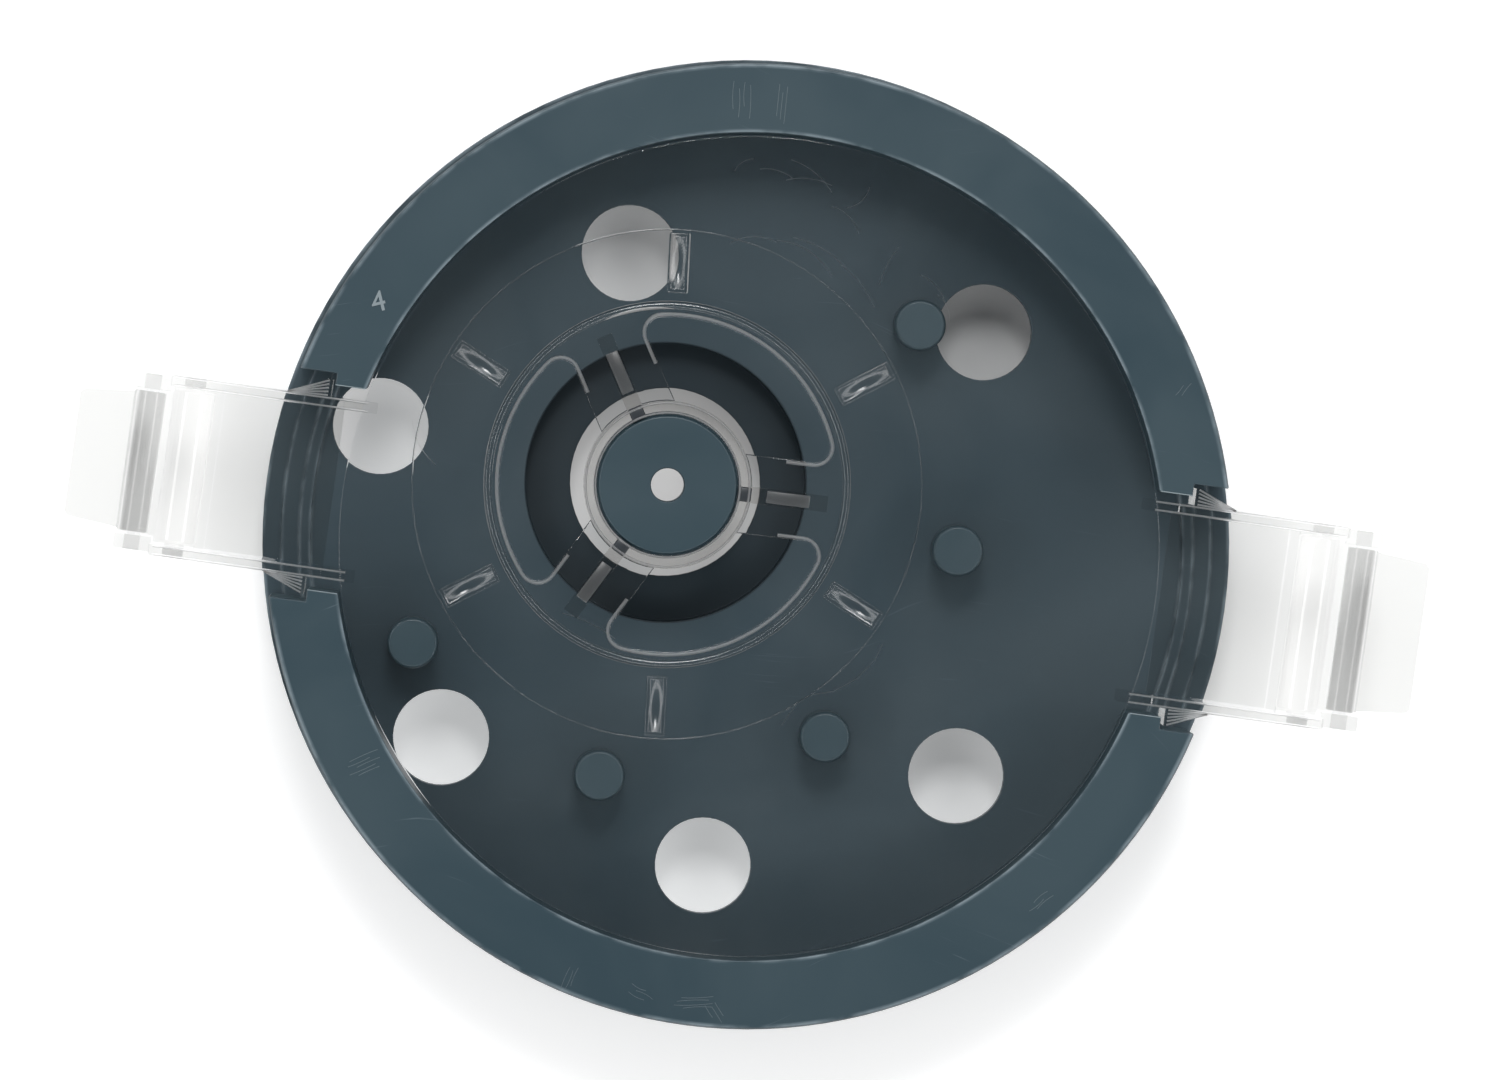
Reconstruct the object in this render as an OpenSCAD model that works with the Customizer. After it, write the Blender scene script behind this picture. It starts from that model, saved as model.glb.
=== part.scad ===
// Round reel with a clear lid and two clear film channels, all sizes in millimetres.
// The origin is the centre of the base on the plane that it stands on, and X runs along the
// two channels. The modules draw the reel with the disc's underside at z = 0, and raised()
// then lifts it onto the base's skirt.

/* [Base] */
// Radius of the base disc
base_r = 48.6; // [46:0.1:52]
// Height of the skirt that the base disc stands on
skirt_h = 5; // [3:0.5:8]
// Thickness of the base disc
base_t = 2.2; // [1.8:0.1:3]
// Outer radius of the raised rims
rim_r = 48; // [46:0.1:50]
// Inner radius of the raised rims
rim_inner_r = 41.1; // [38:0.1:43]
// Height of the rims' top face above the underside
rim_top = 12; // [10:0.1:16]
// Half the width of the rim gap at the left channel
left_gap = 10.2; // [9.8:0.1:12]
// Half the width of the rim gap at the right channel
right_gap = 11.1; // [10.8:0.1:13]

/* [Hub] */
// Hub centre along X
hub_x = -9; // [-12:0.5:0]
// Hub centre along Y
hub_y = 5; // [0:0.5:8]
// Radius of the opening under the hub
opening_r = 9.5; // [9:0.1:12]
// Radius of the well round the opening
well_r = 14; // [12:0.1:16]
// Bore radius of the clear collar that the core turns in
collar_bore_r = 7; // [6:0.1:8]
// Outer radius of the clear collar
collar_r = 8.3; // [8.3:0.1:9]
// Height of the collar's top
collar_top = 13.6; // [13:0.1:16]
// Radius of the spindle hole in the core's cap
spindle_r = 1.65; // [1:0.05:3]

/* [Pegs and flow holes] */
// Radius of the film pegs
peg_r = 2.55; // [2:0.05:3]
// Height of the film pegs above the floor
peg_h = 6; // [4:0.1:7]
// Radius of the circle of pegs about the hub
peg_circle_r = 29.8; // [28:0.1:31]
// Radius of the flow holes
flow_r = 4.8; // [3:0.1:5]

/* [Lid] */
// Radius of the clear lid
lid_r = 40.8; // [39:0.1:40.8]
// Height of the lid's underside
lid_z = 10.4; // [9:0.1:11]
// Thickness of the lid
lid_t = 1; // [0.8:0.1:1.4]
// Outer radius of the three windows about the hub
window_r = 16.6; // [15:0.1:17]
// Width of the three arms between the windows
arm_w = 7.9; // [6:0.1:9]

/* [Channels] */
// Half the outer width of the left channel
left_half = 9; // [8.6:0.1:9.4]
// Half the outer width of the right channel
right_half = 10.2; // [9.8:0.1:10.6]
// Distance from the disc's centre to the tip of each tongue
tip_x = 68; // [67:0.5:72]
// Thickness of the channels' side walls
wall = 1.1; // [0.9:0.1:1.4]

/* [Hidden] */
$fn = 96;
eps = 0.02;

// Base disc: the outer step, the ring that locates the rims, and the well
step_r = 46.7;
step_depth = 0.4;
locator_in = 43.8;
locator_out = 44.9;
locator_h = 0.4;
well_wall = 1.2;
well_floor_t = 1.2;
well_foot = 3;
well_z = well_foot + well_floor_t - skirt_h;
// Skirt round the disc and the stiffening ribs under it, clear of the flow holes
skirt_t = 1.7;
under_rib_w = 1.2;
under_rib_in = 24;
under_rib_short = 1;
under_rib_angles = [5, 85, 145, 195, 245, 295];
// Flow holes, as [direction in degrees, distance] from the disc's centre
flow_holes = [[50, 31.8], [120, 31.5], [170, 38.6], [220, 36.2], [270, 32.4], [320, 31.2]];

// Rims: hollow, with end walls, and a notch at each end for the channels' barbs
rim_wall = 1.3;
rim_bevel = 0.3;
notch_x = 42.9;
notch_depth = 1.2;

// Pegs, every 45 degrees about the hub
peg_first = 40;
peg_step = -45;
peg_stem_r = 1.5;
peg_stem_z = 0.8;
peg_bevel = 0.35;

// Lid: the raised field about the hub, ring bead and radial ribs
field_r = 25.3;
field_h = 0.25;
lid_top = lid_z + lid_t;
field_top = lid_top + field_h;
bead_r = 17.8;
bead_w = 0.9;
bead_h = 0.45;
arm_angles = [1, 121, 241];
arm_rib_w = 1.6;
arm_rib_h = 0.9;
arm_rib_out = 16;
rib_first = 35;
rib_in = 19;
rib_out = 25;
rib_w = 2;
rib_h = 0.8;
rib_groove = 0.7;

// Collar and core: a bead on the drum runs in a groove in the collar
collar_bottom = 9.4;
groove_r = 7.35;
groove_z = 10.6;
groove_h = 0.8;
drum_r = 6.93;
drum_wall = 1;
drum_z = 3;
bead_run = 0.08;
cap_t = 1.4;
cap_z = 12;
slot_w = 1.5;
slot_z = 12.5;

// Channels
wing_floor_z = 3;
wing_floor_t = 0.9;
wing_floor_in = 41.8;
wing_inner_x = 38.5;
wing_wall_top = 11.9;
wing_end_x = 59;
ridge_x = 53.8;
ridge_t = 1;
ridge_top = 5.6;
barb_x = 43.2;
barb_out_x = 47.6;
barb_w = 1.7;
barb_z = 5;
roller_x = 56.7;
roller_z = 6.8;
roller_r = 2.1;
journal_r = 1;
journal_run = 0.06;
side_play = 0.3;
ear_out_x = 62.7;
ear_w = 1.5;
ear_inset = 0.2;
ear_top = 9.6;
pin_x = 60.9;
pin_z = 7.6;
pin_r = 0.8;
pin_run = 0.07;
barrel_r = 1.5;
tongue_t = 0.9;
tongue_taper = 0.6;
band_out_x = 62.6;

module raised() translate([0, 0, skirt_h]) children();

module at_hub() translate([hub_x, hub_y, 0]) children();

module ring(r_in, r_out, z, h)
  translate([0, 0, z]) rotate_extrude() translate([r_in, 0]) square([r_out - r_in, h]);

module flow_hole_cutters()
  for (hole = flow_holes)
    rotate(hole[0]) translate([hole[1], 0, -1]) cylinder(r = flow_r, h = base_t + 2);

module at_peg(k)
  at_hub() rotate(peg_first + (k - 1) * peg_step) translate([peg_circle_r, 0, 0]) children();

module under_ribs()
  for (a = under_rib_angles)
    rotate(a) translate([under_rib_in, -under_rib_w / 2, under_rib_short - skirt_h])
      cube([base_r - skirt_t / 2 - under_rib_in, under_rib_w, skirt_h - under_rib_short + eps]);

module base_plate() color([0.25, 0.31, 0.35])
  difference() {
    union() {
      rotate_extrude() polygon([
        [0, 0], [base_r - skirt_t, 0], [base_r - skirt_t, -skirt_h], [base_r - rim_bevel, -skirt_h],
        [base_r, rim_bevel - skirt_h], [base_r, base_t - step_depth],
        [step_r, base_t - step_depth], [step_r, base_t], [locator_out, base_t],
        [locator_out, base_t + locator_h], [locator_in, base_t + locator_h],
        [locator_in, base_t], [0, base_t]]);
      under_ribs();
      at_hub() translate([0, 0, well_foot - skirt_h])
        cylinder(r = well_r + well_wall, h = skirt_h - well_foot + eps);
    }
    at_hub() translate([0, 0, -skirt_h - 1]) cylinder(r = opening_r, h = skirt_h + base_t + 2);
    at_hub() translate([0, 0, well_z]) cylinder(r = well_r, h = base_t - well_z + 1);
    flow_hole_cutters();
    for (k = [1 : 5]) at_peg(k) translate([0, 0, peg_stem_z]) cylinder(r = peg_stem_r, h = base_t);
  }

// A box that clears one rim gap: side is 1 for the right gap and -1 for the left one
module gap_cutter(side, half, grow)
  translate([side > 0 ? 0 : -60, -half - grow, 0]) cube([60, 2 * (half + grow), 20]);

module rim_notches(side, half)
  translate([side > 0 ? notch_x : -60, -half - notch_depth, 0])
    cube([60 - notch_x, 2 * (half + notch_depth), 20]);

module rim_ring() {
  difference() {
    rotate_extrude() polygon([
      [rim_inner_r, base_t], [rim_inner_r + rim_wall, base_t],
      [rim_inner_r + rim_wall, rim_top - rim_wall], [rim_r - rim_wall, rim_top - rim_wall],
      [rim_r - rim_wall, base_t], [rim_r, base_t], [rim_r, rim_top - rim_bevel],
      [rim_r - rim_bevel, rim_top], [rim_inner_r, rim_top]]);
    gap_cutter(1, right_gap, 0);
    gap_cutter(-1, left_gap, 0);
    rim_notches(1, right_gap);
    rim_notches(-1, left_gap);
  }
  rim_end_walls();
}

// The walls that close the hollow rims at the two gaps
module rim_end_walls()
  difference() {
    intersection() {
      ring(rim_inner_r + rim_wall - eps, rim_r - rim_wall + eps, base_t, rim_top - base_t - rim_wall);
      union() {
        gap_cutter(1, right_gap, notch_depth + rim_wall);
        gap_cutter(-1, left_gap, notch_depth + rim_wall);
      }
    }
    ring(locator_in - 0.2, locator_out + 0.2, base_t - 1, 1 + locator_h + 0.2);
    gap_cutter(1, right_gap, 0);
    gap_cutter(-1, left_gap, 0);
    rim_notches(1, right_gap);
    rim_notches(-1, left_gap);
  }

module upper_rim() color([0.25, 0.31, 0.35])
  intersection() {
    rim_ring();
    translate([-60, 0, 0]) cube([120, 60, 20]);
  }

module lower_rim() color([0.25, 0.31, 0.35])
  intersection() {
    rim_ring();
    translate([-60, -60, 0]) cube([120, 60, 20]);
  }

module film_peg(k) color([0.27, 0.33, 0.37])
  at_peg(k) rotate_extrude() polygon([
    [0, peg_stem_z], [peg_stem_r, peg_stem_z], [peg_stem_r, base_t], [peg_r, base_t],
    [peg_r, base_t + peg_h - peg_bevel], [peg_r - peg_bevel, base_t + peg_h], [0, base_t + peg_h]]);

// The windows' straight sides and outer arcs, as true surfaces
module window_cutters()
  intersection() {
    ring(collar_r, window_r, lid_z - 1, lid_t + 3);
    union() {
      for (a = arm_angles) rotate(a + 60) window_wedge();
    }
  }

// The space between two neighbouring arms, from the hub centre outwards
module window_wedge() {
  apex = arm_w / 2 / sin(60);
  reach = 30;
  translate([apex, 0, lid_z - 1]) linear_extrude(lid_t + 3)
    polygon([[0, 0], [reach * cos(60), reach * sin(60)], [reach, 0],
             [reach * cos(60), -reach * sin(60)]]);
}

module lid_ribs()
  for (k = [0 : 5])
    rotate(rib_first + 60 * k) translate([rib_in, -rib_w / 2, lid_top]) difference() {
      cube([rib_out - rib_in, rib_w, field_h + rib_h]);
      translate([0.6, (rib_w - rib_groove) / 2, field_h + rib_h / 2])
        cube([rib_out - rib_in - 1.2, rib_groove, rib_h]);
    }

module guide_plate() color([0.8, 0.86, 0.88, 0.5])
  difference() {
    union() {
      translate([0, 0, lid_z]) cylinder(r = lid_r, h = lid_t);
      at_hub() {
        translate([0, 0, lid_top - eps]) cylinder(r = field_r, h = field_h + eps);
        ring(bead_r - bead_w / 2, bead_r + bead_w / 2, lid_top, field_h + bead_h);
        lid_ribs();
      }
    }
    at_hub() translate([0, 0, lid_z - 1]) cylinder(r = collar_r, h = 6);
    at_hub() window_cutters();
  }

module hub_collar() color([0.85, 0.9, 0.92, 0.5])
  at_hub() difference() {
    union() {
      ring(collar_bore_r, collar_r, collar_bottom, collar_top - collar_bottom);
      for (a = arm_angles) rotate(a)
        translate([collar_bore_r + 0.4, -arm_rib_w / 2, field_top])
          cube([arm_rib_out - collar_bore_r - 0.4, arm_rib_w, arm_rib_h]);
    }
    ring(collar_bore_r - 1, groove_r, groove_z, groove_h);
    for (a = arm_angles) rotate(a)
      translate([collar_bore_r - 1, -slot_w / 2, slot_z + 0.05]) cube([collar_r, slot_w, 3]);
  }

module core_drum() color([0.22, 0.28, 0.32])
  at_hub() rotate_extrude() polygon([
    [drum_r - drum_wall, drum_z], [drum_r, drum_z], [drum_r, groove_z + 0.1],
    [groove_r - bead_run, groove_z + 0.2], [groove_r - bead_run, groove_z + groove_h - 0.2],
    [drum_r, groove_z + groove_h - 0.1], [drum_r, cap_z], [drum_r - drum_wall, cap_z]]);

module core_cap() color([0.25, 0.31, 0.35])
  at_hub() rotate_extrude() polygon([
    [spindle_r, cap_z - 1.6], [spindle_r + 1.2, cap_z - 1.6], [spindle_r + 1.2, cap_z],
    [drum_r, cap_z], [drum_r, cap_z + cap_t - 0.3], [drum_r - 0.3, cap_z + cap_t],
    [spindle_r + 0.15, cap_z + cap_t], [spindle_r, cap_z + cap_t - 0.15]]);

// One channel, drawn pointing along +X: half is half its outer width
module wing(half) {
  inner = half - wall;
  difference() {
    union() {
      translate([wing_floor_in, -half, wing_floor_z])
        cube([wing_end_x - wing_floor_in, 2 * half, wing_floor_t]);
      for (s = [-1, 1]) wing_side(s, half);
      translate([ridge_x, -inner, wing_floor_z]) cube([ridge_t, 2 * inner, ridge_top - wing_floor_z]);
      translate([wing_end_x - eps, -(half - ear_inset), wing_floor_z])
        cube([ear_out_x - wing_end_x, 2 * (half - ear_inset), wing_floor_t]);
    }
    translate([roller_x, -half - 1, roller_z]) rotate([-90, 0, 0])
      cylinder(r = journal_r + journal_run, h = 2 * half + 2, $fn = 48);
    translate([pin_x, -half - 1, pin_z]) rotate([-90, 0, 0])
      cylinder(r = pin_r, h = 2 * half + 2, $fn = 48);
  }
}

// Side wall with its low inner end under the lid, its barb, and the ear for the gate pin
module wing_side(s, half) {
  y = s > 0 ? half - wall : -half;
  translate([wing_inner_x, y, wing_floor_z])
    cube([wing_floor_in - wing_inner_x + eps, wall, lid_z - wing_floor_z]);
  translate([wing_floor_in, y, wing_floor_z])
    cube([wing_end_x - wing_floor_in, wall, wing_wall_top - wing_floor_z]);
  translate([0, 0, barb_z]) linear_extrude(wing_wall_top - barb_z)
    polygon([[barb_x, s * (half - eps)], [barb_out_x, s * (half - eps)],
             [barb_x + 0.5, s * (half + barb_w)], [barb_x, s * (half + barb_w)]]);
  translate([wing_end_x - eps, s > 0 ? half - ear_inset - ear_w : -half + ear_inset, wing_floor_z])
    cube([ear_out_x - wing_end_x, ear_w, ear_top - wing_floor_z]);
}

// Clear roller across a channel, with a journal in each side wall
module roller(half) {
  inner = half - wall;
  translate([roller_x, 0, roller_z]) rotate([-90, 0, 0]) {
    translate([0, 0, side_play - inner]) cylinder(r = roller_r, h = 2 * (inner - side_play), $fn = 64);
    translate([0, 0, -half + 0.1]) cylinder(r = journal_r, h = 2 * half - 0.2, $fn = 48);
  }
}

// Flap across the mouth of a channel: a barrel on the pin, a sloped band and a tongue
module gate(half) {
  clear = half - ear_inset - ear_w - side_play;
  difference() {
    union() {
      translate([pin_x, -clear, pin_z]) rotate([-90, 0, 0])
        cylinder(r = barrel_r, h = 2 * clear, $fn = 64);
      rotate([90, 0, 0]) translate([0, 0, -clear]) linear_extrude(2 * clear)
        polygon([[pin_x, pin_z + barrel_r - 0.05], [band_out_x, pin_z - 0.2],
                 [band_out_x, pin_z - barrel_r], [pin_x, pin_z - barrel_r]]);
      translate([0, 0, pin_z - barrel_r]) linear_extrude(tongue_t)
        polygon([[pin_x, -clear], [tip_x - 0.4, -clear + tongue_taper],
                 [tip_x, -clear + tongue_taper + 0.4], [tip_x, clear - tongue_taper - 0.4],
                 [tip_x - 0.4, clear - tongue_taper], [pin_x, clear]]);
    }
    translate([pin_x, -half, pin_z]) rotate([-90, 0, 0])
      cylinder(r = pin_r + pin_run, h = 2 * half, $fn = 48);
  }
}

// Plain pin through both ears of a channel
module gate_pin(half)
  translate([pin_x, -half + ear_inset, pin_z]) rotate([-90, 0, 0])
    cylinder(r = pin_r, h = 2 * (half - ear_inset), $fn = 48);

module left_wing() color([0.85, 0.9, 0.92, 0.5]) mirror([1, 0, 0]) wing(left_half);
module right_wing() color([0.85, 0.9, 0.92, 0.5]) wing(right_half);
module left_roller() color([0.9, 0.93, 0.95, 0.5]) mirror([1, 0, 0]) roller(left_half);
module right_roller() color([0.9, 0.93, 0.95, 0.5]) roller(right_half);
module left_gate() color([0.88, 0.9, 0.9, 0.5]) mirror([1, 0, 0]) gate(left_half);
module right_gate() color([0.88, 0.9, 0.9, 0.5]) gate(right_half);
module left_gate_pin() color([0.8, 0.82, 0.83, 0.5]) mirror([1, 0, 0]) gate_pin(left_half);
module right_gate_pin() color([0.8, 0.82, 0.83, 0.5]) gate_pin(right_half);

raised() base_plate();
raised() upper_rim();
raised() lower_rim();
raised() film_peg(1);  // film_peg_1
raised() film_peg(2);  // film_peg_2
raised() film_peg(3);  // film_peg_3
raised() film_peg(4);  // film_peg_4
raised() film_peg(5);  // film_peg_5
raised() guide_plate();
raised() hub_collar();
raised() core_drum();
raised() core_cap();
raised() left_wing();
raised() right_wing();
raised() left_roller();
raised() right_roller();
raised() left_gate();
raised() right_gate();
raised() left_gate_pin();
raised() right_gate_pin();
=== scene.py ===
import math

import bmesh
import bpy
from mathutils import Matrix, Vector


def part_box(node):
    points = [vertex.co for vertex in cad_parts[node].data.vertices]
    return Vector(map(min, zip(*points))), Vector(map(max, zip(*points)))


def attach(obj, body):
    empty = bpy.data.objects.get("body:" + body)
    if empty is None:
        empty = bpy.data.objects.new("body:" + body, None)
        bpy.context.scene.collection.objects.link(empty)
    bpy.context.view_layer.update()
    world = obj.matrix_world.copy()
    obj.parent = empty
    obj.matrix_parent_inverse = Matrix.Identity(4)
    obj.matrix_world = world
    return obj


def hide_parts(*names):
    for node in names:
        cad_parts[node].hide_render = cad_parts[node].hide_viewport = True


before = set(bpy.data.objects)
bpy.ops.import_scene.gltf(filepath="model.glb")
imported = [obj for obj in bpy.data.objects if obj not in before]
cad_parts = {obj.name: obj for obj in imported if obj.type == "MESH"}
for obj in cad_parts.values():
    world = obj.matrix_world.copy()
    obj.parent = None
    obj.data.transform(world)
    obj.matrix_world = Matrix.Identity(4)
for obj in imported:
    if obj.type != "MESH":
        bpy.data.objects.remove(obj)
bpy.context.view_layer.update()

# ---------------------------------------------------------------------------
# The stage: a pale table that glows a little and has painted shade under the reel, one soft
# lamp over the reel's far side with a weak fill, a dim sky with one bright ring that draws the
# edges of clear plastic, and a camera that looks almost straight down through a long lens.
mm = 0.001
scene = bpy.context.scene
scene.view_settings.view_transform = "Standard"
scene.render.film_transparent = False

picture_roll = math.radians(8)
picture_right = Vector((math.cos(picture_roll), math.sin(picture_roll), 0))
picture_up = Vector((-math.sin(picture_roll), math.cos(picture_roll), 0))
picture_width = 150.4 * mm
camera_distance = 760 * mm
camera_lean = math.radians(2.6)
lean_direction = (-0.76 * picture_right + 0.65 * picture_up).normalized()
aim = Vector((0.2 * mm, 0.5 * mm, 9 * mm))

camera_data = bpy.data.cameras.new("camera")
camera_data.sensor_width = 36
camera_data.lens = camera_data.sensor_width * camera_distance / picture_width
camera_data.clip_start = 0.01
camera = bpy.data.objects.new("camera", camera_data)
scene.collection.objects.link(camera)
camera_back = Vector((0, 0, 1)) * math.cos(camera_lean) + lean_direction * math.sin(camera_lean)
camera_across = picture_up.cross(camera_back).normalized()
camera_top = camera_back.cross(camera_across)
camera.matrix_world = Matrix.Translation(aim + camera_back * camera_distance) @ Matrix(
    (camera_across, camera_top, camera_back)
).transposed().to_4x4()
scene.camera = camera


def soft_lamp(name, towards, lean, distance, size, power):
    """A square area lamp that leans away from straight overhead by lean degrees."""
    data = bpy.data.lights.new(name, "AREA")
    data.size = size
    data.energy = power
    lamp = bpy.data.objects.new(name, data)
    scene.collection.objects.link(lamp)
    back = Vector((0, 0, math.cos(math.radians(lean)))) + towards * math.sin(math.radians(lean))
    lamp.location = back * distance
    lamp.rotation_mode = "QUATERNION"
    lamp.rotation_quaternion = back.to_track_quat("Z", "Y")


fill_side = (-picture_right - 0.4 * picture_up).normalized()
soft_lamp("key_lamp", picture_up, lean=32, distance=1.1, size=0.3, power=4)
soft_lamp("fill_lamp", fill_side, lean=50, distance=1.3, size=0.7, power=0.8)

world = bpy.data.worlds.new("studio")
world.use_nodes = True
world_tree = world.node_tree
sky = world_tree.nodes["Background"]
sky.inputs["Strength"].default_value = 1
sky_direction = world_tree.nodes.new("ShaderNodeTexCoord")
sky_parts = world_tree.nodes.new("ShaderNodeSeparateXYZ")
sky_shade = world_tree.nodes.new("ShaderNodeValToRGB")
sky_bands = sky_shade.color_ramp.elements
sky_bands[0].position = 0.03
sky_bands[0].color = (0.17, 0.17, 0.175, 1)
sky_bands[1].position = 0.96
sky_bands[1].color = (0.1, 0.105, 0.11, 1)
ring_glow = 3.3
ring_border_glow = 0.28
for height, brightness in ((0.58, ring_border_glow), (0.64, ring_glow),
                           (0.75, ring_glow), (0.81, ring_border_glow)):
    sky_bands.new(height).color = (brightness, brightness, brightness, 1)
world_tree.links.new(sky_direction.outputs["Generated"], sky_parts.inputs["Vector"])
world_tree.links.new(sky_parts.outputs["Z"], sky_shade.inputs["Fac"])
world_tree.links.new(sky_shade.outputs["Color"], sky.inputs["Color"])
scene.world = world

table_mesh = bpy.data.meshes.new("table")
table_half = 2.5
table_mesh.from_pydata(
    [(x * table_half, y * table_half, 0) for x, y in ((-1, -1), (1, -1), (1, 1), (-1, 1))],
    [], [(0, 1, 2, 3)])
table = bpy.data.objects.new("table", table_mesh)
scene.collection.objects.link(table)
table_paint = bpy.data.materials.new("pale_table")
table_paint.use_nodes = True
table_shader = table_paint.node_tree.nodes["Principled BSDF"]
table_shader.inputs["Roughness"].default_value = 0.7
table_shader.inputs["Specular IOR Level"].default_value = 0.1
table_shader.inputs["Emission Strength"].default_value = 0.28
# Painted shadow and shade under the reel: the table's glow fades from the near side to nothing
# below the lamp side, and its paint is darker below the hub, so that the holes and the hub's opening show the
# table as shaded.
covered_radius = 46 * mm
hub_shade_radius = 13 * mm
fade_direction = (0.5, 0.87, 0)
fade_range = {"From Min": -31 * mm, "From Max": 33 * mm, "To Min": 1.75, "To Max": 0}
core_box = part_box("core_drum")
hub = Vector(((core_box[0].x + core_box[1].x) / 2, (core_box[0].y + core_box[1].y) / 2, 0))
table_nodes = table_paint.node_tree.nodes
table_links = table_paint.node_tree.links
table_place = table_nodes.new("ShaderNodeTexCoord").outputs["Object"]


def table_value(kind, operation, first, second=None, output=0):
    """One math node in the table's paint."""
    node = table_nodes.new(kind)
    node.operation = operation
    for socket, value in zip(node.inputs, (first, second)):
        if isinstance(value, bpy.types.NodeSocket):
            table_links.new(value, socket)
        elif value is not None:
            socket.default_value = value
    return node.outputs[output]


lamp_side = table_value("ShaderNodeVectorMath", "DOT_PRODUCT", table_place, fade_direction, "Value")
fade = table_nodes.new("ShaderNodeMapRange")
table_links.new(lamp_side, fade.inputs["Value"])
for key, value in fade_range.items():
    fade.inputs[key].default_value = value
from_middle = table_value("ShaderNodeVectorMath", "LENGTH", table_place, None, "Value")
outside = table_value("ShaderNodeMath", "GREATER_THAN", from_middle, covered_radius)
# Painted shadow: the table's glow fades under the reel.
table_glow_with_painted_shadow = table_nodes.new("ShaderNodeMix")
table_links.new(outside, table_glow_with_painted_shadow.inputs["Factor"])
table_links.new(fade.outputs["Result"], table_glow_with_painted_shadow.inputs["A"])
table_glow_with_painted_shadow.inputs["B"].default_value = 1
table_links.new(table_glow_with_painted_shadow.outputs["Result"], table_shader.inputs["Emission Color"])
from_hub = table_value("ShaderNodeVectorMath", "DISTANCE", table_place, tuple(hub), "Value")
off_hub = table_value("ShaderNodeMath", "GREATER_THAN", from_hub, hub_shade_radius)
# Painted shade: darker table paint below the hub.
table_paint_with_painted_shade = table_nodes.new("ShaderNodeMix")
table_links.new(off_hub, table_paint_with_painted_shade.inputs["Factor"])
table_paint_with_painted_shade.inputs["A"].default_value = 0.42
table_paint_with_painted_shade.inputs["B"].default_value = 0.9
table_links.new(table_paint_with_painted_shade.outputs["Result"], table_shader.inputs["Base Color"])
table_mesh.materials.append(table_paint)

# ---------------------------------------------------------------------------
# Base plate: one slate-coloured styrene moulding on a skirt, with six flow holes, the
# opening and well under the hub, the ring that locates the rims, and ribs underneath.
# Its satin skin has cloudy flow colour and hair scuffs; its corners carry painted highlight lines and its
# well painted shade.


def node_maker(tree):
    """Returns add(kind, inputs, settings), which makes one node in the tree and links its inputs."""
    def add(kind, inputs=None, **settings):
        node = tree.nodes.new(kind)
        for key, value in settings.items():
            setattr(node, key, value)
        for key, value in (inputs or {}).items():
            if isinstance(value, bpy.types.NodeSocket):
                tree.links.new(value, node.inputs[key])
            else:
                node.inputs[key].default_value = value
        return node
    return add


def shader_group(name, inputs, outputs):
    """An empty shader node group with named sockets; returns tree, add, its inputs and outputs."""
    tree = bpy.data.node_groups.new(name, "ShaderNodeTree")
    for socket, kind, value in inputs:
        made = tree.interface.new_socket(socket, in_out="INPUT", socket_type=kind)
        if value is not None:
            made.default_value = value
    for socket, kind in outputs:
        tree.interface.new_socket(socket, in_out="OUTPUT", socket_type=kind)
    start = tree.nodes.new("NodeGroupInput")
    end = tree.nodes.new("NodeGroupOutput")
    return tree, node_maker(tree), start.outputs, end.inputs


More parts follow.
